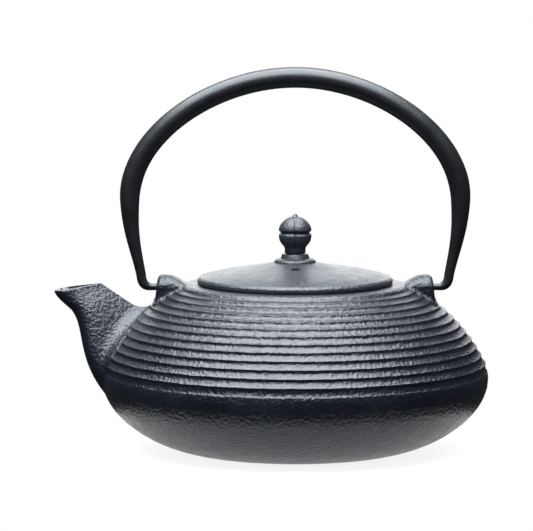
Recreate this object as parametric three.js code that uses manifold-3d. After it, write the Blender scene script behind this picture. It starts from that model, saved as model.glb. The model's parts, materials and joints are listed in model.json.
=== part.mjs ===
// A cast-iron infuser teapot with a swinging bail handle, in millimetres.
// +Z is up, z = 0 is the table, the pot's axis is Z and the spout points along -X.

import * as THREE from 'three';
import { mergeVertices } from 'three/addons/utils/BufferGeometryUtils.js';
import Module from 'manifold-3d';

const wasm = await Module();
wasm.setup();

// ---------------------------------------------------------------- driving dimensions

const gap = 0.3; // left between pieces that touch
const facets = 48; // sides of the pot, lid and infuser

// Pot casting
const wall = 3.2;
const baseRadius = 50;
const bellyRadius = 96.1;
const beltHeight = 36; // where the pot is widest
const beltLip = [95.8, 38.9]; // the edge where the smooth bowl ends
const shoulderCentre = new THREE.Vector2(22, 8.3); // of the arc that the terraces follow
const shoulderRadius = 80;
const firstNotch = 24.6; // degrees above the horizontal, seen from the arc's centre
const notchStep = 3.3;
const notches = 13;
const lipHeight = 0.8; // how far each terrace's lip stands out from its notch
const collarTop = 82.4;
const collarRadius = 51.5;
const potDivisions = [0, 17, 38.5, 66, collarTop]; // heights between bowl, belt, shoulder and collar

// Mouth, with a ledge that the infuser's rim rests on
const mouthRadius = 43;
const ledgeRadius = 46.2;
const ledgeDepth = 1.6;

// Spout: its upper and lower edges in the XZ plane, and half its width along Y
const spoutWall = 2.7;
const spoutBackStart = [-66, 62];
const spoutBackEnd = [-94.2, 82.8];
const spoutFront = [[-91, 24], [-111, 46], [-100, 61], [-119.9, 79]];
const spoutHalfWidths = [17, 11, 7]; // root, middle, mouth
const lipPinch = 0.45; // how much the mouth narrows towards its pouring lip

// Lugs for the handle, and the handle's pivot line
const pivotHeight = 80.7;
const lugOuterFace = 68.5;
const lugTaper = 0.8; // how much further out the lug's foot is than its top
const lugInnerEdge = 54;
const lugCrest = 87;
const lugRounding = 2.6; // of the crest's outer corner
const lugHalfWidth = 9;
const lugArchHeight = 6;
const pinRadius = 1.7;
const pinHoleRadius = 2.1;
const pinHoleEnd = 62.5; // distance of the blind end from the pot's axis

// Handle
const handleTop = 184.8; // height of the bar's centreline at the apex
const handleSpread = 82; // half the span of the centreline where it is widest
const handleWaist = 124; // height of the widest place
const handleAnkle = new THREE.Vector2(76.4, 86.5); // where the leg turns in to the pin
const gripRadius = 5.2;
const legRadius = 2.4;

// Lid
const lidRadius = 48.5;
const lidBottom = collarTop + gap;
const lidEdge = 3.2;
const lidWall = 3.2;
const domeTop = 93.1;
const bossRadius = 10.4;
const bossCollarRadius = 7.1;
const bossRing = 1.9;
const bossCollar = 2.3;
const flangeOuter = 38.3;
const flangeInner = 35.6;
const flangeDepth = 6.5;
const ventRadius = 2.25;
const ventDistance = 18.5; // from the pot's axis, towards the front

// Knob and the screw that holds it
const knobBottom = domeTop + bossRing + bossCollar + gap;
const knobTop = 117.1;
const knobRadius = 8.4;
const screwRadius = 2;
const screwHoleRadius = 2.4;
const screwTop = 105.5;
const screwHeadRadius = 4;
const screwHeadHeight = 2.4;
const washerRadius = 5.5;
const washerThickness = 0.8;

// Infuser basket
const rimThickness = 0.9;
const sheet = 1;
const basketRadius = 40.4; // outside of the mesh wall
const basketDepth = 48.4;
const baseRingHeight = 5;

const castIron = { color: 0x2b2f34, roughness: 0.62, metalness: 0.55 };
const handleIron = { color: 0x1d2023, roughness: 0.42, metalness: 0.5 };
const steel = { color: 0xb9bcc0, roughness: 0.3, metalness: 1 };
const wireMesh = { color: 0xa2a5a9, roughness: 0.45, metalness: 1 };

// ---------------------------------------------------------------- solids

// A closed geometry as a solid, with shared corners merged and flat triangles dropped.
function toSolid(geometry) {
  geometry.deleteAttribute('normal');
  geometry.deleteAttribute('uv');
  const merged = mergeVertices(geometry, 1e-4);
  const corners = merged.index.array;
  const kept = [];
  for (let i = 0; i < corners.length; i += 3) {
    const [a, b, c] = corners.subarray(i, i + 3);
    if (a !== b && b !== c && c !== a) kept.push(a, b, c);
  }
  return new wasm.Manifold(new wasm.Mesh({
    numProp: 3,
    vertProperties: new Float32Array(merged.attributes.position.array),
    triVerts: new Uint32Array(kept),
  }));
}

// A named mesh made from a solid.
function part(name, solid, look) {
  const { vertProperties, triVerts } = solid.getMesh();
  const geometry = new THREE.BufferGeometry();
  geometry.setAttribute('position', new THREE.BufferAttribute(vertProperties, 3));
  geometry.setIndex(new THREE.BufferAttribute(triVerts, 1));
  geometry.computeVertexNormals();
  const mesh = new THREE.Mesh(geometry, new THREE.MeshStandardMaterial(look));
  mesh.name = name;
  return mesh;
}

// A solid of revolution about Z. The outline is a list of [radius, height], going up the outside.
function turned(outline, sides = facets) {
  const points = outline.map(([radius, height]) => new THREE.Vector2(radius, height));
  return toSolid(new THREE.LatheGeometry(points, sides).rotateX(Math.PI / 2));
}

// The same for an outline that closes on itself.
function turnedRing(outline, sides = facets) {
  return turned([...outline, outline[0]], sides);
}

// A prism whose outline is drawn in XZ and which runs along Y, centred on y = 0.
function prismAlongY(outline, width) {
  const shape = new THREE.Shape(outline.map(([x, z]) => new THREE.Vector2(x, z)));
  const geometry = new THREE.ExtrudeGeometry(shape, { depth: width, bevelEnabled: false });
  return toSolid(geometry.translate(0, 0, -width / 2).rotateX(Math.PI / 2));
}

// A round rod between two distances along X, at height z.
function rodAlongX(radius, from, to, z, sides = 20) {
  const geometry = new THREE.CylinderGeometry(radius, radius, Math.abs(to - from), sides);
  return toSolid(geometry.rotateZ(Math.PI / 2).translate((from + to) / 2, 0, z));
}

// Points of a cubic Bezier curve between its four [radius, height] corners.
function bezier(corners, divisions) {
  const [a, b, c, d] = corners.map(([x, y]) => new THREE.Vector2(x, y));
  return new THREE.CubicBezierCurve(a, b, c, d).getPoints(divisions).map((p) => [p.x, p.y]);
}

// A point on a circle about the shoulder arc's centre.
function onShoulder(radius, degrees) {
  const angle = THREE.MathUtils.degToRad(degrees);
  return [
    shoulderCentre.x + radius * Math.cos(angle),
    shoulderCentre.y + radius * Math.sin(angle),
  ];
}

// ---------------------------------------------------------------- pot casting

const lastNotch = firstNotch + notchStep * (notches - 1);

// The terraced shoulder, from the belt up: a notch, then the lip of the terrace above it.
function terraces() {
  const outline = [];
  for (let i = 0; i < notches; i += 1) {
    const notch = firstNotch + notchStep * i;
    outline.push(onShoulder(shoulderRadius, notch));
    if (i < notches - 1) outline.push(onShoulder(shoulderRadius + lipHeight, notch + 0.3 * notchStep));
  }
  return outline;
}

function potOutside() {
  const bowl = bezier(
    [[baseRadius, 0], [baseRadius + 19, 1.2], [bellyRadius, 16.5], [bellyRadius, beltHeight]],
    9,
  );
  return [...bowl, beltLip, ...terraces(), [collarRadius, collarTop]];
}

// The cavity's wall from the mouth down to the middle of the floor.
function potInside() {
  const innerRadius = shoulderRadius - wall;
  const innerBelly = bellyRadius - wall;
  const arcStart = 24.5;
  const arcSteps = 7;
  const shoulder = [];
  for (let i = arcSteps; i >= 0; i -= 1) {
    shoulder.push(onShoulder(innerRadius, THREE.MathUtils.lerp(arcStart, lastNotch, i / arcSteps)));
  }
  const floorRadius = baseRadius - wall;
  const bowl = bezier(
    [[innerBelly, beltHeight - 2], [innerBelly, 19], [floorRadius + 20, wall + 1.2], [floorRadius, wall]],
    8,
  );
  const ledge = collarTop - ledgeDepth;
  return [
    [ledgeRadius, collarTop],
    [ledgeRadius, ledge],
    [mouthRadius, ledge],
    [mouthRadius, collarTop - wall],
    ...shoulder,
    ...bowl,
    [0, wall],
  ];
}

// The space that the pot fills, grown a little, which trims what is cast onto it.
function potEnvelope() {
  const radius = shoulderRadius + lipHeight + gap;
  const arcSteps = 16;
  const outline = [[0, 5], [bellyRadius - 8, 5], [bellyRadius - 2, 20]];
  outline.push([bellyRadius + gap, beltHeight - 8]);
  outline.push([bellyRadius + gap, beltHeight]);
  for (let i = 0; i <= arcSteps; i += 1) {
    outline.push(onShoulder(radius, THREE.MathUtils.lerp(firstNotch, lastNotch, i / arcSteps)));
  }
  outline.push([collarRadius, collarTop + gap], [0, collarTop + gap]);
  return turned(outline);
}

// ---------------------------------------------------------------- spout

// A tube lofted between the spout's two edges, inset from its outer surface by a wall's thickness.
function spoutLoft(inset, from, to) {
  const [rootHalf, middleHalf, mouthHalf] = spoutHalfWidths;
  const back = new THREE.LineCurve(new THREE.Vector2(...spoutBackStart), new THREE.Vector2(...spoutBackEnd));
  const front = new THREE.CubicBezierCurve(...spoutFront.map((p) => new THREE.Vector2(...p)));
  const width = new THREE.QuadraticBezierCurve(
    new THREE.Vector2(0, rootHalf),
    new THREE.Vector2(0.5, middleHalf),
    new THREE.Vector2(1, mouthHalf),
  );
  const geometry = new THREE.CylinderGeometry(1, 1, 1, 24, 12);
  const place = geometry.attributes.position;
  for (let i = 0; i < place.count; i += 1) {
    const along = THREE.MathUtils.lerp(from, to, place.getY(i) + 0.5);
    const edgeBack = back.getPoint(along);
    const half = front.getPoint(along).sub(edgeBack).multiplyScalar(0.5);
    const centre = edgeBack.add(half);
    half.setLength(half.length() - inset);
    const across = place.getX(i);
    const pinch = 1 - lipPinch * THREE.MathUtils.smoothstep(along, 0.5, 1) * Math.max(0, across);
    const side = (width.getPoint(along).y - inset) * pinch * place.getZ(i);
    place.setXYZ(i, centre.x + half.x * across, side, centre.y + half.y * across);
  }
  return toSolid(geometry);
}

const spoutChannel = spoutLoft(spoutWall, -0.16, 1.06);

const pot = turned([[0, 0], ...potOutside(), ...potInside()]).subtract(spoutChannel);

// The pot is one casting. It is divided into a floor and four rings, which are simpler shapes.
function makePotFloor() {
  const radius = baseRadius - wall - gap;
  return turned([[0, 0], [radius, 0], [radius, wall], [0, wall]]);
}

// One of the rings, counted from the bottom.
function makePotRing(index) {
  const floorEdge = baseRadius - wall;
  const low = potDivisions[index] + gap / 2;
  const high = potDivisions[index + 1] - gap / 2;
  const aboveLow = index > 0 ? pot.trimByPlane([0, 0, 1], low) : pot;
  const isTop = index === potDivisions.length - 2;
  const ring = isTop ? aboveLow : aboveLow.trimByPlane([0, 0, -1], -high);
  const hollow = turned([[0, -1], [floorEdge, -1], [floorEdge, wall + 1], [0, wall + 1]]);
  return ring.subtract(hollow);
}

function makeSpout() {
  return spoutLoft(0, 0, 1).subtract(spoutChannel).subtract(potEnvelope());
}

// ---------------------------------------------------------------- lugs

// One lug; side is -1 for the spout's side and +1 for the rear.
function makeLug(side) {
  const crest = [
    [lugInnerEdge, collarTop],
    [lugInnerEdge + 3, collarTop + 4.5],
    [lugOuterFace - 8, lugCrest],
    [lugOuterFace - lugRounding, lugCrest],
  ];
  const profile = [
    [lugInnerEdge, collarTop - 6],
    ...bezier(crest, 6),
    [lugOuterFace - 0.3 * lugRounding, lugCrest - 0.3 * lugRounding],
    [lugOuterFace, lugCrest - lugRounding],
    [lugOuterFace + lugTaper, collarTop - 13],
    [lugInnerEdge + 8, collarTop - 13],
  ].map(([x, z]) => [side * x, z]);
  const block = prismAlongY(side > 0 ? profile : profile.reverse(), 2 * lugHalfWidth);

  const arch = new THREE.Shape();
  const springing = lugCrest - lugArchHeight;
  arch.moveTo(-lugHalfWidth, 0);
  arch.lineTo(lugHalfWidth, 0);
  arch.lineTo(lugHalfWidth, springing);
  arch.absellipse(0, springing, lugHalfWidth, lugArchHeight, 0, Math.PI, false);
  arch.lineTo(-lugHalfWidth, 0);
  const archBar = new THREE.ExtrudeGeometry(arch, { depth: 200, bevelEnabled: false, curveSegments: 12 });
  const tunnel = toSolid(archBar.translate(0, 0, -100).rotateX(Math.PI / 2).rotateZ(Math.PI / 2));

  const hole = rodAlongX(pinHoleRadius, side * pinHoleEnd, side * (lugOuterFace + 5), pivotHeight);
  return block.intersect(tunnel).subtract(potEnvelope()).subtract(hole);
}

// ---------------------------------------------------------------- handle

const curveOf = { 2: THREE.LineCurve3, 3: THREE.QuadraticBezierCurve3, 4: THREE.CubicBezierCurve3 };

// The corner points of the bar's centreline on one side, as [x, z], from the pin's end to the apex.
function handleStretches(side) {
  const bendStart = lugOuterFace + 2.5;
  const { x: ankleX, y: ankleZ } = handleAnkle;
  const stretches = [
    [[pinHoleEnd + 0.8, pivotHeight], [bendStart, pivotHeight]],
    [[bendStart, pivotHeight], [ankleX - 0.3, pivotHeight], [ankleX, ankleZ]],
    [[ankleX, ankleZ], [ankleX + 1.9, ankleZ + 11.5], [handleSpread, handleWaist - 14],
      [handleSpread, handleWaist]],
    [[handleSpread, handleWaist], [handleSpread, handleWaist + 33.6], [handleSpread / 2, handleTop],
      [0, handleTop]],
  ];
  return stretches.map((corners) => corners.map(([x, z]) => new THREE.Vector3(side * x, 0, z)));
}

// The centreline from the spout side's pin over the top to the rear pin.
function handlePath() {
  const rising = handleStretches(-1);
  const falling = handleStretches(1).reverse().map((corners) => corners.reverse());
  const path = new THREE.CurvePath();
  for (const corners of [...rising, ...falling]) path.add(new curveOf[corners.length](...corners));
  return path;
}

// The bar is thin at its pins, a little thicker in its legs and thickest where the hand holds it.
function barRadius(point) {
  const grown = THREE.MathUtils.smoothstep(point.z, pivotHeight + 3.3, handleWaist + 12);
  const leg = THREE.MathUtils.lerp(legRadius, gripRadius, grown);
  if (point.z > handleAnkle.y) return leg;
  const outside = THREE.MathUtils.smoothstep(Math.abs(point.x), lugOuterFace + 2, handleAnkle.x - 0.6);
  return THREE.MathUtils.lerp(pinRadius, leg, outside);
}

function makeHandle() {
  const path = handlePath();
  const geometry = new THREE.CylinderGeometry(1, 1, 1, 12, 64);
  const place = geometry.attributes.position;
  const across = new THREE.Vector3(0, 1, 0);
  for (let i = 0; i < place.count; i += 1) {
    const along = place.getY(i) + 0.5;
    const centre = path.getPointAt(along);
    const outward = path.getTangentAt(along).cross(across);
    const radius = barRadius(centre);
    centre.addScaledVector(outward, radius * place.getX(i));
    centre.addScaledVector(across, radius * place.getZ(i));
    place.setXYZ(i, centre.x, centre.y, centre.z);
  }
  return toSolid(geometry);
}

// ---------------------------------------------------------------- lid and knob

function makeLid() {
  const domeEdge = lidRadius - 1;
  const rimTop = lidBottom + lidEdge;
  const bossTop = domeTop + bossRing;
  const ceiling = domeTop - lidWall;
  const top = bezier(
    [[domeEdge, rimTop], [36, rimTop + 3.1], [22, domeTop - 3.3], [bossRadius, domeTop]],
    8,
  );
  const underside = bezier(
    [[bossRadius, ceiling], [20, ceiling - 2.6], [28, lidBottom + 3.3], [flangeInner, lidBottom + 1.9]],
    5,
  );
  const outline = [
    [flangeInner, lidBottom],
    [lidRadius, lidBottom],
    [lidRadius, rimTop - 0.6],
    ...top,
    [bossRadius, bossTop - 0.6],
    [bossRadius - 0.6, bossTop],
    [bossCollarRadius, bossTop],
    [bossCollarRadius - 0.3, bossTop + bossCollar],
    [screwHoleRadius, bossTop + bossCollar],
    [screwHoleRadius, ceiling],
    ...underside,
  ];
  const vent = new THREE.CylinderGeometry(ventRadius, ventRadius, 40, 16);
  vent.rotateX(Math.PI / 2).translate(0, -ventDistance, domeTop);
  return turnedRing(outline).subtract(toSolid(vent));
}

// The ring cast under the lid that keeps it centred in the mouth.
function makeLidFlange() {
  const low = lidBottom - flangeDepth;
  const high = lidBottom - gap;
  return turnedRing([[flangeInner, low], [flangeOuter, low], [flangeOuter, high], [flangeInner, high]]);
}

// A neck under a ball with a groove round its middle and a small nub on top.
function makeKnob() {
  const grooveHeight = knobTop - 8.6;
  const neckRadius = 5.1;
  const lower = bezier(
    [[neckRadius, knobBottom + 2], [6.2, knobBottom + 4.2], [knobRadius, grooveHeight - 5],
      [knobRadius, grooveHeight - 1.5]],
    5,
  );
  const upper = bezier(
    [[knobRadius, grooveHeight + 1.5], [knobRadius, grooveHeight + 6], [5.5, knobTop - 1.5],
      [1.6, knobTop - 1.5]],
    6,
  );
  return turned([
    [0, screwTop + gap],
    [screwHoleRadius, screwTop + gap],
    [screwHoleRadius, knobBottom],
    [neckRadius + 0.2, knobBottom],
    ...lower,
    [knobRadius - 0.7, grooveHeight],
    ...upper,
    [1.6, knobTop - 0.6],
    [0.9, knobTop],
    [0, knobTop],
  ], 24);
}

const washerTop = domeTop - lidWall - gap;

function makeWasher() {
  const low = washerTop - washerThickness;
  const outline = [
    [screwHoleRadius, low],
    [washerRadius, low],
    [washerRadius, washerTop],
    [screwHoleRadius, washerTop],
  ];
  return turnedRing(outline, 24);
}

function makeScrew() {
  const headTop = washerTop - washerThickness - gap;
  const headBottom = headTop - screwHeadHeight;
  return turned([
    [0, headBottom],
    [screwHeadRadius - 1, headBottom],
    [screwHeadRadius, headBottom + 1],
    [screwHeadRadius, headTop],
    [screwRadius, headTop],
    [screwRadius, screwTop - 0.6],
    [screwRadius - 0.6, screwTop],
    [0, screwTop],
  ], 24);
}

// ---------------------------------------------------------------- infuser

const rimBottom = collarTop - ledgeDepth + gap;
const basketBottom = rimBottom - basketDepth;
const sleeveOuter = basketRadius + gap + sheet;

function makeInfuserRim() {
  const rimTop = rimBottom + rimThickness;
  return turnedRing([
    [basketRadius + gap, rimBottom - 6],
    [sleeveOuter, rimBottom - 6],
    [sleeveOuter, rimBottom],
    [ledgeRadius - 0.6, rimBottom],
    [ledgeRadius - 0.6, rimTop],
    [basketRadius + gap, rimTop],
  ]);
}

function makeInfuserWall() {
  const inner = basketRadius - sheet;
  const low = basketBottom + sheet + gap;
  return turnedRing([[inner, low], [basketRadius, low], [basketRadius, rimBottom], [inner, rimBottom]]);
}

// A shallow angle ring that holds the wall's lower edge and carries the base.
function makeInfuserBaseRing() {
  const inner = basketRadius - 3.5;
  return turnedRing([
    [inner, basketBottom],
    [sleeveOuter, basketBottom],
    [sleeveOuter, basketBottom + baseRingHeight],
    [basketRadius + gap, basketBottom + baseRingHeight],
    [basketRadius + gap, basketBottom + sheet],
    [inner, basketBottom + sheet],
  ]);
}

function makeInfuserBase() {
  const low = basketBottom + sheet + gap;
  const radius = basketRadius - sheet - gap;
  return turned([[0, low], [radius, low], [radius, low + sheet], [0, low + sheet]]);
}

// ---------------------------------------------------------------- assembly

const teapot = new THREE.Group();
teapot.name = 'teapot';
teapot.add(
  part('pot_floor', makePotFloor(), castIron),
  part('pot_bowl', makePotRing(0), castIron),
  part('pot_belt', makePotRing(1), castIron),
  part('pot_shoulder', makePotRing(2), castIron),
  part('pot_collar', makePotRing(3), castIron),
  part('spout', makeSpout(), castIron),
  part('lug_spout_side', makeLug(-1), castIron),
  part('lug_rear', makeLug(1), castIron),
  part('handle', makeHandle(), handleIron),
  part('lid', makeLid(), castIron),
  part('lid_flange', makeLidFlange(), castIron),
  part('knob', makeKnob(), castIron),
  part('knob_screw', makeScrew(), steel),
  part('knob_washer', makeWasher(), steel),
  part('infuser_rim', makeInfuserRim(), steel),
  part('infuser_wall', makeInfuserWall(), wireMesh),
  part('infuser_base_ring', makeInfuserBaseRing(), steel),
  part('infuser_base', makeInfuserBase(), wireMesh),
);

export default teapot;
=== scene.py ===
"""A cast-iron infuser teapot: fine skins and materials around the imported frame."""

import json
import math

import bmesh
import bpy
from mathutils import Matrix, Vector, noise


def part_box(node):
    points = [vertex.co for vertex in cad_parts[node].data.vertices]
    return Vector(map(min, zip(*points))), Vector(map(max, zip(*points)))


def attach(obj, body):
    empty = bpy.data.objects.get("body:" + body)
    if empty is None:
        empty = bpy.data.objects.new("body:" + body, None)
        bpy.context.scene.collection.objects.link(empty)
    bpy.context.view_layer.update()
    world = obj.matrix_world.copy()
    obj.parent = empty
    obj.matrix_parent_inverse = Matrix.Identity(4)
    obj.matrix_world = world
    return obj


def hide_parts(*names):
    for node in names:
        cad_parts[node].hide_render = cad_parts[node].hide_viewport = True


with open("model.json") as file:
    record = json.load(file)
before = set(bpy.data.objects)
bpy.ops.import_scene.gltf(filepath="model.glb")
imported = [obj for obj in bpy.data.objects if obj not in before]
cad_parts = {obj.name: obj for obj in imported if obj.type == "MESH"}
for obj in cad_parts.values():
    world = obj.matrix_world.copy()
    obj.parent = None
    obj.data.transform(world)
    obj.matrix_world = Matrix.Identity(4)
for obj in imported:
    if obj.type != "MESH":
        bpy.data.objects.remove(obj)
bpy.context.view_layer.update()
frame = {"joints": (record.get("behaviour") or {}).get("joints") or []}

MM = 0.001

# ---------------------------------------------------------------- sizes, in millimetres


def box_mm(node):
    """The lowest and highest corners of a CAD node, in millimetres."""
    lowest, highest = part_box(node)
    return Vector(lowest) / MM, Vector(highest) / MM


BELT_HIGH = box_mm("pot_belt")[1]
COLLAR_HIGH = box_mm("pot_collar")[1]
SPOUT_LOW, SPOUT_HIGH = box_mm("spout")
LUG_HIGH = box_mm("lug_rear")[1]
LID_HIGH = box_mm("lid")[1]
FLANGE_LOW = box_mm("lid_flange")[0]
KNOB_LOW, KNOB_HIGH = box_mm("knob")
BAIL_HIGH = box_mm("handle")[1]
RIM_LOW, RIM_HIGH = box_mm("infuser_rim")
WALL_LOW, WALL_HIGH = box_mm("infuser_wall")
BASE_RING_LOW, BASE_RING_HIGH = box_mm("infuser_base_ring")
BASE_LOW, BASE_HIGH = box_mm("infuser_base")
SCREW_LOW, SCREW_HIGH = box_mm("knob_screw")
WASHER_LOW, WASHER_HIGH = box_mm("knob_washer")
PIVOT_HEIGHT = next(j["pos_m"][2] for j in frame["joints"] if j["name"] == "handle_swing") / MM

BELLY = BELT_HIGH.y
COLLAR_TOP = COLLAR_HIGH.z
GAP = 0.3
WALL = 3.2

FOOT_RADIUS = BELLY - 46.1
BELT_HEIGHT = 36  # where the pot is widest
BELT_LIP = (BELLY - 0.3, BELT_HEIGHT + 2.9)
SHOULDER_CENTRE = (22, 8.3)  # of the arc that the terraces follow
LIP_RADIUS = 80.8
FIRST_NOTCH = 24.6  # degrees above the horizontal, seen from that centre
NOTCH_STEP = 3.3
NOTCHES = 13
LAST_NOTCH = FIRST_NOTCH + NOTCH_STEP * (NOTCHES - 1)
LOW_NOTCH_DEPTH = 0.9
HIGH_NOTCH_DEPTH = 0.65
COLLAR_RADIUS = 51.5
LEDGE_RADIUS = RIM_HIGH.x + 0.6
LEDGE_HEIGHT = RIM_LOW.z + 6
MOUTH_RADIUS = 43
SCREW_HOLE = 2.4  # its radius, in the lid, the knob and the washer

# ---------------------------------------------------------------- mesh helpers


def mesh_object(name, points, faces, material, sharp_degrees=38):
    """A smooth-shaded mesh from points in millimetres, with its hard edges kept."""
    mesh = bpy.data.meshes.new(name)
    mesh.from_pydata([Vector(p) * MM for p in points], [], faces)
    mesh.update()
    mesh.materials.append(material)
    piece = bpy.data.objects.new(name, mesh)
    bpy.context.scene.collection.objects.link(piece)
    smooth(piece, sharp_degrees)
    return piece


def smooth(piece, sharp_degrees=38):
    piece.data.shade_smooth()
    piece.data.set_sharp_from_angle(angle=math.radians(sharp_degrees))


def face_outwards(piece):
    """Turns every face of a closed mesh to point out."""
    work = bmesh.new()
    work.from_mesh(piece.data)
    bmesh.ops.recalc_face_normals(work, faces=work.faces)
    work.to_mesh(piece.data)
    work.free()


def turned(name, outline, sides, material, shape=None, sharp_degrees=38):
    """A closed body of revolution about Z through (radius, height) pairs.

    The outline starts and ends on the axis, or closes on itself. shape may move each point.
    """
    points, rows = [], []
    for radius, height in outline:
        if radius == 0:
            rows.append([len(points)] * sides)
            points.append(Vector((0, 0, height)))
            continue
        rows.append(range(len(points), len(points) + sides))
        for side in range(sides):
            angle = 2 * math.pi * side / sides
            point = Vector((radius * math.cos(angle), radius * math.sin(angle), height))
            points.append(shape(point) if shape else point)
    on_axis = outline[0][0] == 0
    pairs = list(zip(rows, rows[1:]))
    if not on_axis:
        pairs.append((rows[-1], rows[0]))
    faces = []
    for low, high in pairs:
        for side in range(sides):
            after = (side + 1) % sides
            face = (low[side], low[after], high[after], high[side])
            faces.append(tuple(dict.fromkeys(face)))
    piece = mesh_object(name, points, faces, material, sharp_degrees)
    face_outwards(piece)
    smooth(piece, sharp_degrees)
    return piece


def lofted(name, rings, material, sharp_degrees=38):
    """A closed body through rings of points, with its two ends filled."""
    sides = len(rings[0])
    points = [point for ring in rings for point in ring]
    faces = []
    for ring in range(len(rings) - 1):
        start = ring * sides
        for side in range(sides):
            after = (side + 1) % sides
            faces.append((start + side, start + after, start + sides + after, start + sides + side))
    for ring in (0, len(rings) - 1):
        centre = len(points)
        points.append(sum(map(Vector, rings[ring]), Vector()) / sides)
        start = ring * sides
        faces += [(centre, start + side, start + (side + 1) % sides) for side in range(sides)]
    piece = mesh_object(name, points, faces, material, sharp_degrees)
    face_outwards(piece)
    smooth(piece, sharp_degrees)
    return piece


def combine(piece, other, operation):
    """Joins the other closed body to the piece, or cuts it out, and removes the other."""
    modifier = piece.modifiers.new("combine", "BOOLEAN")
    modifier.operation = operation
    modifier.solver = "MANIFOLD"
    modifier.object = other
    shaped = piece.evaluated_get(bpy.context.evaluated_depsgraph_get())
    mesh = bpy.data.meshes.new_from_object(shaped)
    piece.modifiers.clear()
    piece.data = mesh
    bpy.data.objects.remove(other)


def bezier(corners, steps):
    """Points of a cubic Bezier curve, both ends included."""
    return [bezier_point(corners, step / steps) for step in range(steps + 1)]


def bezier_point(corners, t):
    a, b, c, d = map(Vector, corners)
    s = 1 - t
    return a * s**3 + b * 3 * s * s * t + c * 3 * s * t * t + d * t**3


def smoothstep(low, high, value):
    t = min(1, max(0, (value - low) / (high - low)))
    return t * t * (3 - 2 * t)


def mix(a, b, t):
    return a + (b - a) * t


def on_shoulder(radius, degrees):
    angle = math.radians(degrees)
    x, z = SHOULDER_CENTRE
    return Vector((x + radius * math.cos(angle), z + radius * math.sin(angle)))


# ---------------------------------------------------------------- materials


class Shader:
    """A node material round one Principled shader, with short ways to add nodes."""

    def __init__(self, name):
        self.material = bpy.data.materials.new(name)
        self.material.use_nodes = True
        self.tree = self.material.node_tree
        self.surface = self.tree.nodes["Principled BSDF"]
        self.place = self.tree.nodes.new("ShaderNodeTexCoord").outputs["Object"]

    def noise(self, scale, detail=4, roughness=0.55):
        node = self.tree.nodes.new("ShaderNodeTexNoise")
        node.inputs["Scale"].default_value = scale
        node.inputs["Detail"].default_value = detail
        node.inputs["Roughness"].default_value = roughness
        self.tree.links.new(self.place, node.inputs["Vector"])
        return node.outputs["Fac"]

    def ramp(self, value, stops):
        """A colour ramp through (position, colour) stops."""
        node = self.tree.nodes.new("ShaderNodeValToRGB")
        while len(node.color_ramp.elements) < len(stops):
            node.color_ramp.elements.new(0.5)
        for element, (position, colour) in zip(node.color_ramp.elements, stops):
            element.position = position
            element.color = (*colour, 1)
        self.tree.links.new(value, node.inputs["Fac"])
        return node.outputs["Color"]

    def grey_ramp(self, value, low, high, start=0.3, end=0.7):
        return self.ramp(value, [(start, (low,) * 3), (end, (high,) * 3)])

    def maths(self, operation, first, second):
        node = self.tree.nodes.new("ShaderNodeMath")
        node.operation = operation
        for socket, value in zip(node.inputs, (first, second)):
            if isinstance(value, (int, float)):
                socket.default_value = value
            else:
                self.tree.links.new(value, socket)
        return node.outputs[0]

    def bump(self, height, distance, strength=1, under=None):
        """A bump whose height value of 1 stands for distance, in millimetres."""
        node = self.tree.nodes.new("ShaderNodeBump")
        node.inputs["Strength"].default_value = strength
        node.inputs["Distance"].default_value = distance * MM
        self.tree.links.new(height, node.inputs["Height"])
        if under:
            self.tree.links.new(under, node.inputs["Normal"])
        return node.outputs["Normal"]

    def link(self, value, socket):
        self.tree.links.new(value, self.surface.inputs[socket])

    def set(self, **values):
        for name, value in values.items():
            self.surface.inputs[name.replace("_", " ")].default_value = value


def cast_iron(name, dark, light, grain, peel, rough):
    """Matte black iron with the grain of the sand that it was cast in.

    dark and light are the range of its colour; grain and peel are the heights, in
    millimetres, of its fine grain and of the coarser orange-peel under it.
    """
    shader = Shader(name)
    clouds = shader.noise(45, detail=5)
    shader.link(shader.ramp(clouds, [(0.3, dark), (0.7, light)]), "Base Color")
    low_rough, high_rough = rough
    shader.link(shader.grey_ramp(shader.noise(160, detail=4), low_rough, high_rough), "Roughness")
    swells_per_metre, peel_per_metre, grains_per_metre = 300, 620, 1500
    swell_share = 0.4
    swell = shader.bump(shader.noise(swells_per_metre, detail=2, roughness=0.5), swell_share * peel)
    coarse = shader.bump(shader.noise(peel_per_metre, detail=1, roughness=0.5), peel, under=swell)
    fine = shader.bump(shader.noise(grains_per_metre, detail=3, roughness=0.6), grain, under=coarse)
    shader.link(fine, "Normal")
    bluish = (0.86, 0.93, 1, 1)
    shader.set(Specular_Tint=bluish)
    return shader.material


def enamel():
    """The glossy black lining of the pot, with slight waves in its surface."""
    shader = Shader("enamel_lining")
    clouds = shader.noise(70)
    dark, light = (0.012, 0.012, 0.013), (0.02, 0.02, 0.022)
    shader.link(shader.ramp(clouds, [(0.3, dark), (0.7, light)]), "Base Color")
    shader.link(shader.grey_ramp(shader.noise(240), 0.16, 0.26), "Roughness")
    shader.link(shader.bump(shader.noise(180, detail=2), 0.12), "Normal")
    return shader.material


def pressed_steel():
    """Stainless sheet with a fine, slightly uneven sheen."""
    shader = Shader("pressed_steel")
    brushed = shader.noise(900, detail=6, roughness=0.7)
    shader.link(shader.ramp(brushed, [(0.25, (0.5, 0.51, 0.53)), (0.75, (0.66, 0.67, 0.69))]), "Base Color")
    shader.link(shader.grey_ramp(brushed, 0.24, 0.38), "Roughness")
    shader.link(shader.bump(brushed, 0.02), "Normal")
    shader.set(Metallic=1.0)
    return shader.material


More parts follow.
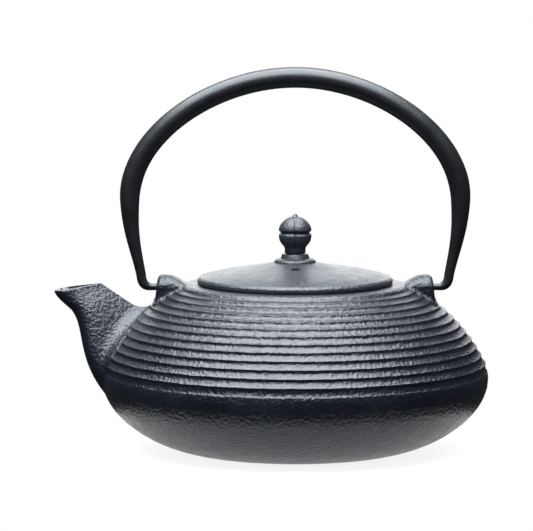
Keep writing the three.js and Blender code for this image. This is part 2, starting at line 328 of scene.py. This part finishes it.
def woven_mesh(name, flat, pitch=0.75):
    """Woven stainless wire, pitch millimetres between wires; flat for the base, else for the wall."""
    shader = Shader(name)
    tree = shader.tree
    parts = tree.nodes.new("ShaderNodeSeparateXYZ")
    tree.links.new(shader.place, parts.inputs["Vector"])
    if flat:
        across, up = parts.outputs["X"], parts.outputs["Y"]
        across_rate = 2 * math.pi / (pitch * MM)
    else:
        across = shader.maths("ARCTAN2", parts.outputs["Y"], parts.outputs["X"])
        up = parts.outputs["Z"]
        across_rate = round(2 * math.pi * WALL_HIGH.x / pitch)
    wave_x = shader.maths("SINE", shader.maths("MULTIPLY", across, across_rate), 0)
    wave_z = shader.maths("SINE", shader.maths("MULTIPLY", up, 2 * math.pi / (pitch * MM)), 0)
    wires = shader.maths("MAXIMUM", wave_x, wave_z)
    height = shader.maths("MULTIPLY_ADD", wires, 0.5)
    height.node.inputs[2].default_value = 0.5
    # The gaps between the wires are painted near black: painted shade standing for the dim inside of the
    # basket seen through the open mesh.
    shader.link(
        shader.ramp(height, [(0.3, (0.02, 0.02, 0.022)), (0.62, (0.56, 0.57, 0.59))]), "Base Color"
    )
    shader.link(shader.grey_ramp(height, 0.6, 0.3), "Roughness")
    shader.link(shader.bump(height, 0.2), "Normal")
    shader.set(Metallic=1.0)
    return shader.material


POT_IRON = cast_iron(
    "pot_iron", (0.003, 0.004, 0.008), (0.006, 0.008, 0.014), grain=0.12, peel=0.5, rough=(0.31, 0.41)
)
LID_IRON = cast_iron(
    "lid_iron", (0.012, 0.015, 0.02), (0.02, 0.024, 0.03), grain=0.12, peel=0.34, rough=(0.34, 0.44)
)
BAIL_IRON = cast_iron(
    "bail_iron", (0.004, 0.0045, 0.0055), (0.008, 0.009, 0.011), grain=0.02, peel=0.03, rough=(0.32, 0.42)
)
ENAMEL = enamel()
STEEL = pressed_steel()
WALL_MESH = woven_mesh("woven_wall", flat=False)
BASE_MESH = woven_mesh("woven_base", flat=True)

# ---------------------------------------------------------------- pot casting

POT_SIDES = 400


def terrace_rise(u):
    """How far a terrace stands out of its notch, from its lower notch (u = 0) to its upper (u = 1).

    A riser climbs ever more steeply to a tight lip, and a hollow tread falls back from it.
    """
    riser = 0.3
    if u < riser:
        return (u / riser) ** 1.5
    return ((1 - u) / (1 - riser)) ** 2


def shoulder_outline():
    stops = (0, 0.1, 0.18, 0.24, 0.28, 0.32, 0.37, 0.45, 0.56, 0.7, 0.85)
    outline = []
    for terrace in range(NOTCHES - 1):
        for u in stops:
            step = terrace + u
            depth = mix(LOW_NOTCH_DEPTH, HIGH_NOTCH_DEPTH, step / NOTCHES)
            fall = depth * (1 - terrace_rise(u))
            outline.append(on_shoulder(LIP_RADIUS - fall, FIRST_NOTCH + NOTCH_STEP * step))
    top = on_shoulder(LIP_RADIUS - HIGH_NOTCH_DEPTH, LAST_NOTCH)
    edge = [top + Vector((-0.3, 0.9)), Vector((COLLAR_RADIUS + 2, COLLAR_TOP - 0.15))]
    return outline + [top] + edge + [Vector((COLLAR_RADIUS - 1, COLLAR_TOP))]


def bowl_outline():
    """The lower bowl from the foot's edge up to the belt, with a fine seam where the mould parted."""
    corners = [
        (FOOT_RADIUS, 0), (FOOT_RADIUS + 19, 1.2), (BELLY, 16.5), (BELLY, BELT_HEIGHT),
    ]
    seam_height, seam_width, seam_rise = 31.5, 0.5, 0.1
    outline = []
    for point in bezier(corners, 40):
        rise = seam_rise * math.exp(-(((point.y - seam_height) / seam_width) ** 2))
        outline.append(point + Vector((rise, 0)))
    return outline


BOWL = bowl_outline()


def outside_pot(point):
    """How far a point is outside the pot's smooth envelope."""
    radius = math.hypot(point.x, point.y)
    if point.z >= BELT_HEIGHT:
        x, z = SHOULDER_CENTRE
        return math.hypot(radius - x, point.z - z) - LIP_RADIUS + LOW_NOTCH_DEPTH / 2
    for low, high in zip(BOWL, BOWL[1:]):
        if low.y <= point.z <= high.y:
            return radius - mix(low.x, high.x, (point.z - low.y) / max(high.y - low.y, 1e-6))
    return radius - BELLY


def roughened(point):
    """The pot's surface is slightly uneven, and its notches wander a little along the shoulder."""
    flat = Vector((point.x, point.y, 0))
    out = flat.normalized()
    if point.z > COLLAR_TOP - 0.5 or point.z < 1 or flat.length < COLLAR_RADIUS:
        return point
    x, z = SHOULDER_CENTRE
    if point.z > BELT_HEIGHT:
        out = (flat - out * x + Vector((0, 0, point.z - z))).normalized()
    along = out.cross(Vector((-point.y, point.x, 0)).normalized())
    calm = 1 if point.z > BELT_HEIGHT else 0.5
    swell = 0.1 * noise.noise(point * 0.12) + 0.1 * noise.noise(point * 0.6 + Vector((7, 3, 1)))
    wander = 0.16 * noise.noise(point * 0.16 + Vector((2, 9, 5))) + 0.16 * noise.noise(point * 0.7)
    return point + out * (swell * calm - 0.05) + along * wander * calm


def pot_outside():
    foot = [Vector((0, 0.6)), Vector((FOOT_RADIUS - 6, 0.6)), Vector((FOOT_RADIUS - 4.5, 0))]
    x, z = BELT_LIP
    notch = on_shoulder(LIP_RADIUS - LOW_NOTCH_DEPTH, FIRST_NOTCH)
    belt = [Vector((x + 0.12, z - 1)), Vector((x, z - 0.3))]
    belt += bezier([(x - 0.1, z), (x - 0.6, z + 0.4), notch - Vector((0, 1)), notch], 8)[:-1]
    outline = foot + BOWL + belt + shoulder_outline() + [Vector((0, COLLAR_TOP))]
    return turned("cast_pot", outline, POT_SIDES, POT_IRON, roughened, 60)


def pot_cavity():
    inner = LIP_RADIUS - 0.8 - WALL
    belly = BELLY - WALL
    floor = FOOT_RADIUS - WALL
    bowl = bezier([(floor, WALL), (floor + 20, WALL + 1.2), (belly, 19), (belly, BELT_HEIGHT - 2)], 18)
    shoulder = [on_shoulder(inner, mix(24.5, LAST_NOTCH, step / 14)) for step in range(15)]
    neck = [
        Vector((MOUTH_RADIUS, COLLAR_TOP - WALL)), Vector((MOUTH_RADIUS, LEDGE_HEIGHT - 0.4)),
        Vector((MOUTH_RADIUS + 0.4, LEDGE_HEIGHT)), Vector((LEDGE_RADIUS, LEDGE_HEIGHT)),
        Vector((LEDGE_RADIUS, COLLAR_TOP - 0.4)), Vector((LEDGE_RADIUS + 0.5, COLLAR_TOP + 1)),
    ]
    outline = [Vector((0, WALL))] + bowl + shoulder + neck + [Vector((0, COLLAR_TOP + 1))]
    return turned("cavity", outline, 200, ENAMEL)


# The spout's lower edge in XZ: up from inside the pot, then out along the pouring lip to its tip.
TIP = (SPOUT_LOW.x, 79)
SPOUT_KNEE = (-111.2, 69.4)
SPOUT_BELLY_CURVE = [(-91, 24), (-109.8, 44), (-103.5, 60), SPOUT_KNEE]
SPOUT_LIP_CURVE = [SPOUT_KNEE, (-114.5, 72.4), (-118.6, 75.4), TIP]
KNEE_AT = 0.8
SPOUT_BACK = [Vector((-66, 62)), Vector((-96.6, SPOUT_HIGH.z - 0.1))]
SPOUT_WALL = 2.7
SPOUT_FILLET = 7
SPOUT_BULGE = 0.8  # how much wider the spout is towards its lower edge than its upper
WIDEST = 1.24  # of that bulged section, which brings its width back to the one asked for


def spout_section(t):
    """The middle of the spout at t, from root (0) to mouth (1), half its depth there as a vector
    to its lower edge, and half its width along Y."""
    if t < KNEE_AT:
        front = bezier_point(SPOUT_BELLY_CURVE, t / KNEE_AT)
    else:
        front = bezier_point(SPOUT_LIP_CURVE, (t - KNEE_AT) / (1 - KNEE_AT))
    back = SPOUT_BACK[0].lerp(SPOUT_BACK[1], t)
    root, middle, mouth = 16, 10.5, 7.2
    width = root * (1 - t) ** 2 + 2 * middle * t * (1 - t) + mouth * t * t
    return (front + back) / 2, (front - back) / 2, width


def spout_ring(t, inset, front_inset, sides, fillet=0):
    """One ring of the spout. front_inset is its inset at the lower edge, where the lip is thicker."""
    middle, reach, width = spout_section(t)
    depth, direction = reach.length, reach.normalized()
    ring = []
    for side in range(sides):
        angle = 2 * math.pi * side / sides
        across, lateral = math.cos(angle), math.sin(angle)
        if across > 0:
            square = mix(0.62, 1, smoothstep(0.3, 0.95, t))
            across, lateral = across ** square, math.copysign(abs(lateral) ** square, lateral)
        lateral *= (1 + SPOUT_BULGE * across) / WIDEST
        here = mix(inset, front_inset, max(0, across))
        spread = direction * across * (depth - here)
        point = Vector((middle.x + spread.x, lateral * (width - inset), middle.y + spread.y))
        if fillet:
            away = min(1, max(0, outside_pot(point) / fillet))
            flare = fillet * (1 - math.sqrt(1 - (1 - away) ** 2)) * (1 - smoothstep(0.1, 0.9, across))
            outward = Vector((direction.x * across, lateral, direction.y * across))
            point += outward.normalized() * flare
        ring.append(point)
    return ring


def spout_outside():
    """The spout's outer surface, flared where it grows out of the pot and rounded at its mouth."""
    sides, steps, edge = 96, 84, 0.8
    rings = [spout_ring(t / steps, 0, 0, sides, SPOUT_FILLET) for t in range(steps)]
    for step in range(5):
        angle = math.pi / 2 * step / 4
        inset = edge * (1 - math.cos(angle))
        rings.append(spout_ring(1 - 0.02 * (1 - math.sin(angle)), inset, inset, sides))
    return lofted("spout_skin", rings, POT_IRON, 60)


def spout_channel():
    """The hollow of the spout. It widens at the mouth, and rises along the lip as a tongue."""
    steps = 50
    rings = []
    for step in range(steps + 1):
        t = mix(-0.16, 1.04, step / steps)
        widened = 1 - smoothstep(0.95, 1.02, t)
        inset = mix(1.5, SPOUT_WALL, widened)
        tongue = 4.6 * smoothstep(0.3, 0.86, t) * (1 - smoothstep(0.88, 1.03, t))
        rings.append(spout_ring(t, inset, inset + tongue, 72))
    return lofted("channel", rings, ENAMEL, 60)


def lug(side):
    """One of the two ears that carry the handle; side is -1 by the spout and +1 at the rear."""
    outer, inner = 68.5, 52.5
    crest, shoulder_z, half_width = LUG_HIGH.z, COLLAR_TOP + 0.6, LUG_HIGH.y
    bottom = 62
    round_x, round_z, round_y = 2.4, 4.2, 1.0
    stations = []
    for step in range(21):
        t = step / 20
        x = mix(inner, outer - round_x, t)
        climb = math.sin(math.pi / 2 * min(1, t / 0.86)) ** 0.9
        stations.append((x, mix(shoulder_z - 1.6, crest, climb), half_width))
    for step in range(1, 9):
        angle = math.pi / 2 * step / 8
        x = outer - round_x * (1 - math.sin(angle))
        drop = 1 - math.cos(angle)
        stations.append((x, crest - round_z * drop, half_width - round_y * drop))
    rings = []
    for x, top, half in stations:
        springing = min(top - 1.5, crest - 6)
        ring = [Vector((x, half, mix(bottom, springing, k / 24))) for k in range(24)]
        for k in range(33):
            angle = math.pi * k / 32
            height = springing + (top - springing) * math.sin(angle) ** 0.9
            ring.append(Vector((x, half * math.cos(angle), height)))
        ring += [Vector((x, -half, mix(springing, bottom, k / 24))) for k in range(1, 25)]
        rings.append([lug_point(point, side) for point in ring])
    return lofted("lug_skin", rings, POT_IRON, 50)


def lug_point(point, side):
    """Flares a lug's foot into the pot, leans its end out a little, and puts it on its side."""
    fillet = 1.6
    away = min(1, max(0, outside_pot(point) / fillet))
    flare = fillet * (1 - math.sqrt(1 - (1 - away) ** 2))
    widened = point.y + math.copysign(flare, point.y) if abs(point.y) > 5 else point.y
    leaning = 0.06 * max(0, 82 - point.z) if point.x > 66 else 0
    return Vector((side * (point.x + leaning + (flare if point.x > 68.4 else 0)), widened, point.z))


def pin_hole(side):
    """The hole in a lug that the handle's pin turns in, with a small countersink."""
    radius, far, near = 2.1, 62.5, 69.6
    rings = []
    for x, r in ((far, radius), (68.4, radius), (near, radius + 0.9)):
        ring = []
        for k in range(32):
            angle = 2 * math.pi * k / 32
            ring.append(Vector((side * x, r * math.cos(angle), PIVOT_HEIGHT + r * math.sin(angle))))
        rings.append(ring)
    return lofted("pin_hole", rings, POT_IRON)


def make_pot():
    """The pot, its spout and its lugs as the one casting that they are."""
    pot = pot_outside()
    combine(pot, spout_outside(), "UNION")
    for side in (-1, 1):
        combine(pot, lug(side), "UNION")
        combine(pot, pin_hole(side), "DIFFERENCE")
    combine(pot, pot_cavity(), "DIFFERENCE")
    combine(pot, spout_channel(), "DIFFERENCE")
    smooth(pot, 60)
    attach(pot, "pot")
    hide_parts("pot_floor", "pot_bowl", "pot_belt", "pot_shoulder", "pot_collar")
    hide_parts("spout", "lug_spout_side", "lug_rear")
    return pot


# ---------------------------------------------------------------- handle


def handle_path():
    """Points of the bar's centreline from the pin's end on the rear side up to the apex."""
    spread = BAIL_HIGH.x - 4.9
    top = BAIL_HIGH.z - BAIL_HIGH.y
    waist = 124
    ankle = Vector((76.4, 86.5))
    bend = 71
    pin = [Vector((mix(63.3, bend, step / 8), PIVOT_HEIGHT)) for step in range(8)]
    turn = [(bend, PIVOT_HEIGHT), (74.4, PIVOT_HEIGHT), (76.2, PIVOT_HEIGHT + 1.9), ankle]
    leg = [ankle, ankle + Vector((2.2, 11.5)), (spread, waist - 17), (spread, waist)]
    arch = [(spread, waist), (spread, waist + 32.8), (spread / 2 - 0.6, top), (0, top)]
    points = pin + bezier(turn, 14)[:-1] + bezier(leg, 30)[:-1] + bezier(arch, 70)
    return points, ankle


def bar_radius(point, ankle):
    grown = smoothstep(PIVOT_HEIGHT + 3.3, 136, point.y)
    leg = mix(2.4, BAIL_HIGH.y, grown)
    if point.y > ankle.y:
        return leg
    return mix(1.7, leg, smoothstep(70.5, ankle.x - 0.6, point.x))


def make_handle():
    """The bail: one round bar, thick where the hand holds it and thin at its two pins."""
    half, ankle = handle_path()
    path = half + [Vector((-p.x, p.y)) for p in reversed(half[:-1])]
    sides = 32
    rings = []
    for index, point in enumerate(path):
        before, after = path[max(0, index - 1)], path[min(len(path) - 1, index + 1)]
        along = (after - before).normalized()
        outward = Vector((along.y, -along.x))
        radius = bar_radius(Vector((abs(point.x), point.y)), ankle)
        ring = []
        for side in range(sides):
            angle = 2 * math.pi * side / sides
            out = outward * radius * math.cos(angle)
            ring.append(Vector((point.x + out.x, radius * math.sin(angle), point.y + out.y)))
        rings.append(ring)
    for end, inward in ((0, -1), (-1, 1)):
        middle = sum(rings[end], Vector()) / sides
        tip = [middle + (p - middle) * 0.7 + Vector((inward * 0.5, 0, 0)) for p in rings[end]]
        rings = [tip] + rings if end == 0 else rings + [tip]
    handle = lofted("bail_bar", rings, BAIL_IRON, 50)
    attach(handle, "bail")
    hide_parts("handle")
    return handle


# ---------------------------------------------------------------- lid and knob

DOME_TOP = LID_HIGH.z - 4.2
LID_BOTTOM = COLLAR_TOP + GAP
LID_EDGE = 3.2
BOSS = 10.4


def lid_outline():
    """From the flange's inner foot round the outside, over the dome to the boss, and back."""
    edge = LID_HIGH.x
    rim = LID_BOTTOM + LID_EDGE
    ceiling = DOME_TOP - 3.2
    flange_outer, flange_inner, hole = 38.3, 35.6, SCREW_HOLE
    foot = FLANGE_LOW.z
    collar = 7.1
    outline = [
        (flange_inner, foot + 0.4), (flange_inner + 0.4, foot), (flange_outer - 0.4, foot),
        (flange_outer, foot + 0.4), (flange_outer, LID_BOTTOM - 0.4), (flange_outer + 0.4, LID_BOTTOM),
        (edge - 0.5, LID_BOTTOM), (edge - 0.12, LID_BOTTOM + 0.15), (edge, LID_BOTTOM + 0.5),
        (edge, rim - 1.5), (edge - 0.15, rim - 1.15), (edge - 0.6, rim - 0.65), (edge - 1.1, rim - 0.2),
        (edge - 1.5, rim + 0.02), (edge - 2.2, rim + 0.16),
    ]
    outline += bezier([(edge - 2.8, rim + 0.3), (36, rim + 3.4), (22, DOME_TOP - 3), (BOSS, DOME_TOP)], 26)
    skirt = DOME_TOP + 1.9
    brim = [(BOSS, DOME_TOP + 0.15), (BOSS - 0.2, DOME_TOP + 1.2)]
    brim += [(BOSS - 1.4, skirt), (collar + 0.4, skirt)]
    outline += bezier(brim, 8)
    outline += [(collar + 0.1, skirt + 0.1), (collar, skirt + 0.4), (collar - 0.5, LID_HIGH.z - 0.35)]
    outline += [(collar - 0.65, LID_HIGH.z - 0.1), (collar - 0.95, LID_HIGH.z)]
    outline += [(hole, LID_HIGH.z), (hole, ceiling)]
    under = [(BOSS, ceiling), (20, ceiling - 2.6), (28, LID_BOTTOM + 3.3), (flange_inner, LID_BOTTOM + 1.9)]
    outline += bezier(under, 14)
    return [Vector(point) for point in outline]


def uneven_lid(point):
    return point + Vector((0, 0, 0.06 * noise.noise(point * 0.2))) if point.z > LID_BOTTOM + 1 else point


def make_lid():
    lid = turned("domed_lid", lid_outline(), 220, LID_IRON, uneven_lid, 40)
    vent, distance = 2.25, 18.5
    rings = []
    for z, r in ((70, vent), (DOME_TOP - 2.6, vent), (DOME_TOP - 1.7, vent + 0.15), (99, vent + 0.2)):
        ring = []
        for k in range(40):
            angle = 2 * math.pi * k / 40
            ring.append(Vector((r * math.cos(angle), -distance + r * math.sin(angle), z)))
        rings.append(ring)
    combine(lid, lofted("vent", rings, LID_IRON), "DIFFERENCE")
    smooth(lid, 40)
    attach(lid, "lid_with_knob")
    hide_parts("lid", "lid_flange")
    return lid


def make_knob():
    """A lobed ball on a neck, with a groove round its middle and a small nub on top."""
    groove = KNOB_HIGH.z - 9.2
    radius, neck, hole = KNOB_HIGH.x, 5.25, SCREW_HOLE
    low, high = KNOB_LOW.z, KNOB_HIGH.z
    lower = bezier(
        [(neck + 0.1, low + 2.3), (6, low + 4.2), (radius - 0.2, groove - 5.4), (radius, groove - 1.9)], 12
    )
    rim = [(radius, groove - 1.4), (radius - 0.12, groove - 1), (radius - 0.45, groove - 0.6)]
    waist = [(radius - 0.95, groove - 0.25), (radius - 1, groove + 0.1), (radius - 0.7, groove + 0.4)]
    brow = [(radius - 0.2, groove + 0.75), (radius, groove + 1.3)]
    upper = bezier(
        [(radius, groove + 1.6), (radius - 0.3, groove + 4.2), (4.8, high - 1.7), (2.1, high - 1.45)], 14
    )
    nub = [(1.5, high - 1.25), (1.15, high - 0.7), (0.7, high - 0.15), (0.3, high), (0, high)]
    outline = [(0, high - 11.3), (hole, high - 11.3), (hole, low), (neck - 0.3, low), (neck, low + 0.3)]
    outline += [*map(tuple, lower), *rim, *waist, *brow, *map(tuple, upper), *nub]
    lobes = 4
    crease_width, crease_depth = 0.55, 0.55

    def lobed(point):
        ring = math.hypot(point.x, point.y)
        if ring < 2.5 or point.z < low + 1:
            return point
        angle = math.atan2(point.y, point.x) + math.pi / 2
        nearest = abs((angle * lobes / (2 * math.pi) + 0.5) % 1 - 0.5) * 2 * math.pi / lobes
        crease = math.exp(-((nearest * ring / crease_width) ** 2))
        bulge = 0.22 * (1 - math.cos(lobes * angle)) / 2 - 0.22
        strength = smoothstep(2.5, 5.5, ring) * smoothstep(low + 1, low + 4, point.z)
        moved = ring + strength * (bulge - crease_depth * crease)
        bumps = 0.06 * noise.noise(point * 0.8)
        scale = (moved + bumps) / ring
        return Vector((point.x * scale, point.y * scale, point.z))

    knob = turned("lobed_knob", [Vector(p) for p in outline], 192, LID_IRON, lobed, 60)
    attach(knob, "lid_with_knob")
    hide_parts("knob")
    return knob


def make_knob_fixing():
    """The screw and washer inside the lid that hold the knob."""
    head_top = WASHER_LOW.z - GAP
    low, high = SCREW_LOW.z, SCREW_HIGH.z
    head = bezier([(0.01, low), (2.6, low), (3.9, low + 0.5), (4, head_top - 0.6)], 8)
    thread = []
    pitch = 0.8
    turns = int((high - 1.2 - head_top - 1) / pitch)
    for turn in range(turns):
        z = head_top + 1 + pitch * turn
        thread += [(2, z), (1.65, z + pitch / 2)]
    outline = [(0, low), *map(tuple, head[1:]), (4, head_top - 0.1), (3.9, head_top), (2, head_top)]
    outline += thread + [(2, high - 0.6), (1.4, high), (0, high)]
    screw = turned("pan_head_screw", [Vector(p) for p in outline], 48, STEEL, None, 50)
    reach, half_slot = 2.4, 0.45
    for half_x, half_y in ((reach, half_slot), (half_slot, reach)):
        corners = [(-half_x, -half_y), (half_x, -half_y), (half_x, half_y), (-half_x, half_y)]
        rings = [[Vector((x, y, z)) for x, y in corners] for z in (low - 1, low + 1.1)]
        combine(screw, lofted("slot", rings, STEEL), "DIFFERENCE")
    smooth(screw, 50)
    inner, outer, bottom, top = SCREW_HOLE, WASHER_HIGH.x, WASHER_LOW.z, WASHER_HIGH.z
    ring = [(inner, bottom), (outer - 0.2, bottom), (outer, bottom + 0.2), (outer, top - 0.2)]
    ring += [(outer - 0.2, top), (inner, top)]
    washer = turned("flat_washer", [Vector(p) for p in ring], 96, STEEL)
    for piece, node in ((screw, "knob_screw"), (washer, "knob_washer")):
        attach(piece, "lid_with_knob")
        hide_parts(node)


# ---------------------------------------------------------------- infuser


def make_infuser():
    """A stainless basket: a pressed rim, a woven wall, a base ring and a woven base."""
    sleeve_in, sleeve_out = WALL_HIGH.x + GAP, BASE_RING_HIGH.x
    low, seat, high, edge = RIM_LOW.z, LEDGE_HEIGHT, RIM_HIGH.z, RIM_HIGH.x
    rim = [
        (sleeve_in, low + 0.3), (sleeve_in + 0.3, low), (sleeve_out, low + 0.2), (sleeve_out, seat - 1),
        (sleeve_out + 0.3, seat - 0.3), (sleeve_out + 1, seat), (edge - 0.5, seat), (edge, seat + 0.3),
        (edge, high - 0.3), (edge - 0.4, high), (sleeve_in + 1.2, high - 0.05),
        (sleeve_in + 0.4, high - 0.4), (sleeve_in, high - 1.2),
    ]
    ring_low, ring_high = BASE_RING_LOW.z, BASE_RING_HIGH.z
    inner = WALL_HIGH.x - 3.5
    base_ring = [
        (inner, ring_low + 0.3), (inner + 0.3, ring_low), (sleeve_out - 1, ring_low),
        (sleeve_out - 0.3, ring_low + 0.3), (sleeve_out, ring_low + 1), (sleeve_out, ring_high - 0.3),
        (sleeve_out - 0.3, ring_high), (sleeve_in, ring_high - 0.2), (sleeve_in, ring_low + 1.4),
        (sleeve_in - 0.4, ring_low + 1), (inner, ring_low + 1),
    ]
    wall_in = WALL_HIGH.x - 1
    ribs = 7
    wall = [(WALL_HIGH.x - 0.12, WALL_LOW.z)]
    for rib in range(ribs):
        z = mix(WALL_LOW.z + 5, WALL_HIGH.z - 7, rib / (ribs - 1))
        wall += [(WALL_HIGH.x - 0.12, z - 0.9), (WALL_HIGH.x, z), (WALL_HIGH.x - 0.12, z + 0.9)]
    wall += [(WALL_HIGH.x - 0.12, WALL_HIGH.z), (wall_in, WALL_HIGH.z), (wall_in, WALL_LOW.z)]
    base_low, base_high, base_edge = BASE_LOW.z, BASE_HIGH.z, BASE_HIGH.x
    base = [(0, base_low), (base_edge * 0.86, base_low), (base_edge, base_low + 0.25)]
    base += [(base_edge, base_high), (base_edge * 0.88, base_high - 0.05), (0, base_high)]
    pieces = (
        ("basket_rim", rim, STEEL, "infuser_rim", "steel"),
        ("basket_wall", wall, WALL_MESH, "infuser_wall", "wire_mesh"),
        ("basket_base_ring", base_ring, STEEL, "infuser_base_ring", "steel"),
        ("basket_base", base, BASE_MESH, "infuser_base", "wire_mesh"),
    )
    for name, outline, material, node, slot in pieces:
        piece = turned(name, [Vector(p) for p in outline], 160, material, None, 50)
        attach(piece, "infuser")
        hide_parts(node)


# ---------------------------------------------------------------- studio


def make_floor():
    """A plain white round sheet that glows, a painted light, enough to stay pale under the pot.

    It ends close to the pot, so the pot's belt reflects the dark beyond the sheet's edge.
    """
    shader = Shader("pale_floor")
    shader.set(Base_Color=(0.1, 0.1, 0.1, 1), Roughness=0.9, Emission_Color=(1, 1, 1, 1))
    length = shader.tree.nodes.new("ShaderNodeVectorMath")
    length.operation = "LENGTH"
    shader.tree.links.new(shader.place, length.inputs[0])
    radius, sides = 0.11, 128
    under_pot, edge = 0.85, 1
    # The glow is weaker under the pot (under_pot) than at the sheet's edge: painted shade round the pot's
    # foot, within a painted glow that keeps the sheet white and brightens the bowl's reflection.
    glow = shader.grey_ramp(length.outputs["Value"], under_pot, edge, start=0.05, end=radius)
    shader.link(glow, "Emission Strength")
    corners = []
    for side in range(sides):
        angle = 2 * math.pi * side / sides
        corners.append((radius * math.cos(angle), radius * math.sin(angle), 0))
    mesh = bpy.data.meshes.new("floor")
    mesh.from_pydata(corners, [], [range(sides)])
    mesh.materials.append(shader.material)
    floor = bpy.data.objects.new("floor", mesh)
    bpy.context.scene.collection.objects.link(floor)


def softbox(name, place, target, width, height, radiance):
    """An area light of a given brightness that faces its target."""
    data = bpy.data.lights.new(name, "AREA")
    data.shape = "RECTANGLE"
    data.size, data.size_y = width, height
    data.energy = radiance * math.pi * width * height
    light = bpy.data.objects.new(name, data)
    light.location = place
    light.rotation_euler = (Vector(target) - Vector(place)).to_track_quat("-Z", "Y").to_euler()
    bpy.context.scene.collection.objects.link(light)


def make_lights():
    """Two softboxes, and a world that is white to the camera and nearly dark to the pot."""
    softbox("overhead", (-0.12, -0.28, 1.0), (-0.12, -0.27, 0), 1.3, 1.56, 13)
    softbox("behind", (0, 1.3, 0.5), (0, 0, 0.1), 1, 0.8, 3)
    world = bpy.data.worlds.new("studio")
    world.use_nodes = True
    tree = world.node_tree
    background = tree.nodes["Background"]
    white = tree.nodes.new("ShaderNodeBackground")
    white.inputs["Strength"].default_value = 1
    white.inputs["Color"].default_value = (1, 1, 1, 1)
    background.inputs["Color"].default_value = (0.9, 0.95, 1, 1)
    background.inputs["Strength"].default_value = 0.05
    rays = tree.nodes.new("ShaderNodeLightPath")
    either = tree.nodes.new("ShaderNodeMixShader")
    tree.links.new(rays.outputs["Is Camera Ray"], either.inputs["Fac"])
    tree.links.new(background.outputs[0], either.inputs[1])
    tree.links.new(white.outputs[0], either.inputs[2])
    tree.links.new(either.outputs[0], tree.nodes["World Output"].inputs["Surface"])
    bpy.context.scene.world = world
    bpy.context.scene.view_settings.view_transform = "Standard"


def make_camera():
    """A long lens a little above the pot, looking along +Y."""
    data = bpy.data.cameras.new("camera")
    downward = 0.10934
    data.sensor_width, data.lens = 36, 242.7
    data.clip_end = 100
    camera = bpy.data.objects.new("camera", data)
    camera.location = (-0.0142, -1.773, 0.286)
    camera.rotation_euler = (math.pi / 2 - downward, 0, 0)
    bpy.context.scene.collection.objects.link(camera)
    bpy.context.scene.camera = camera


make_camera()
make_lights()
make_floor()
make_pot()
make_handle()
make_lid()
make_knob()
make_knob_fixing()
make_infuser()
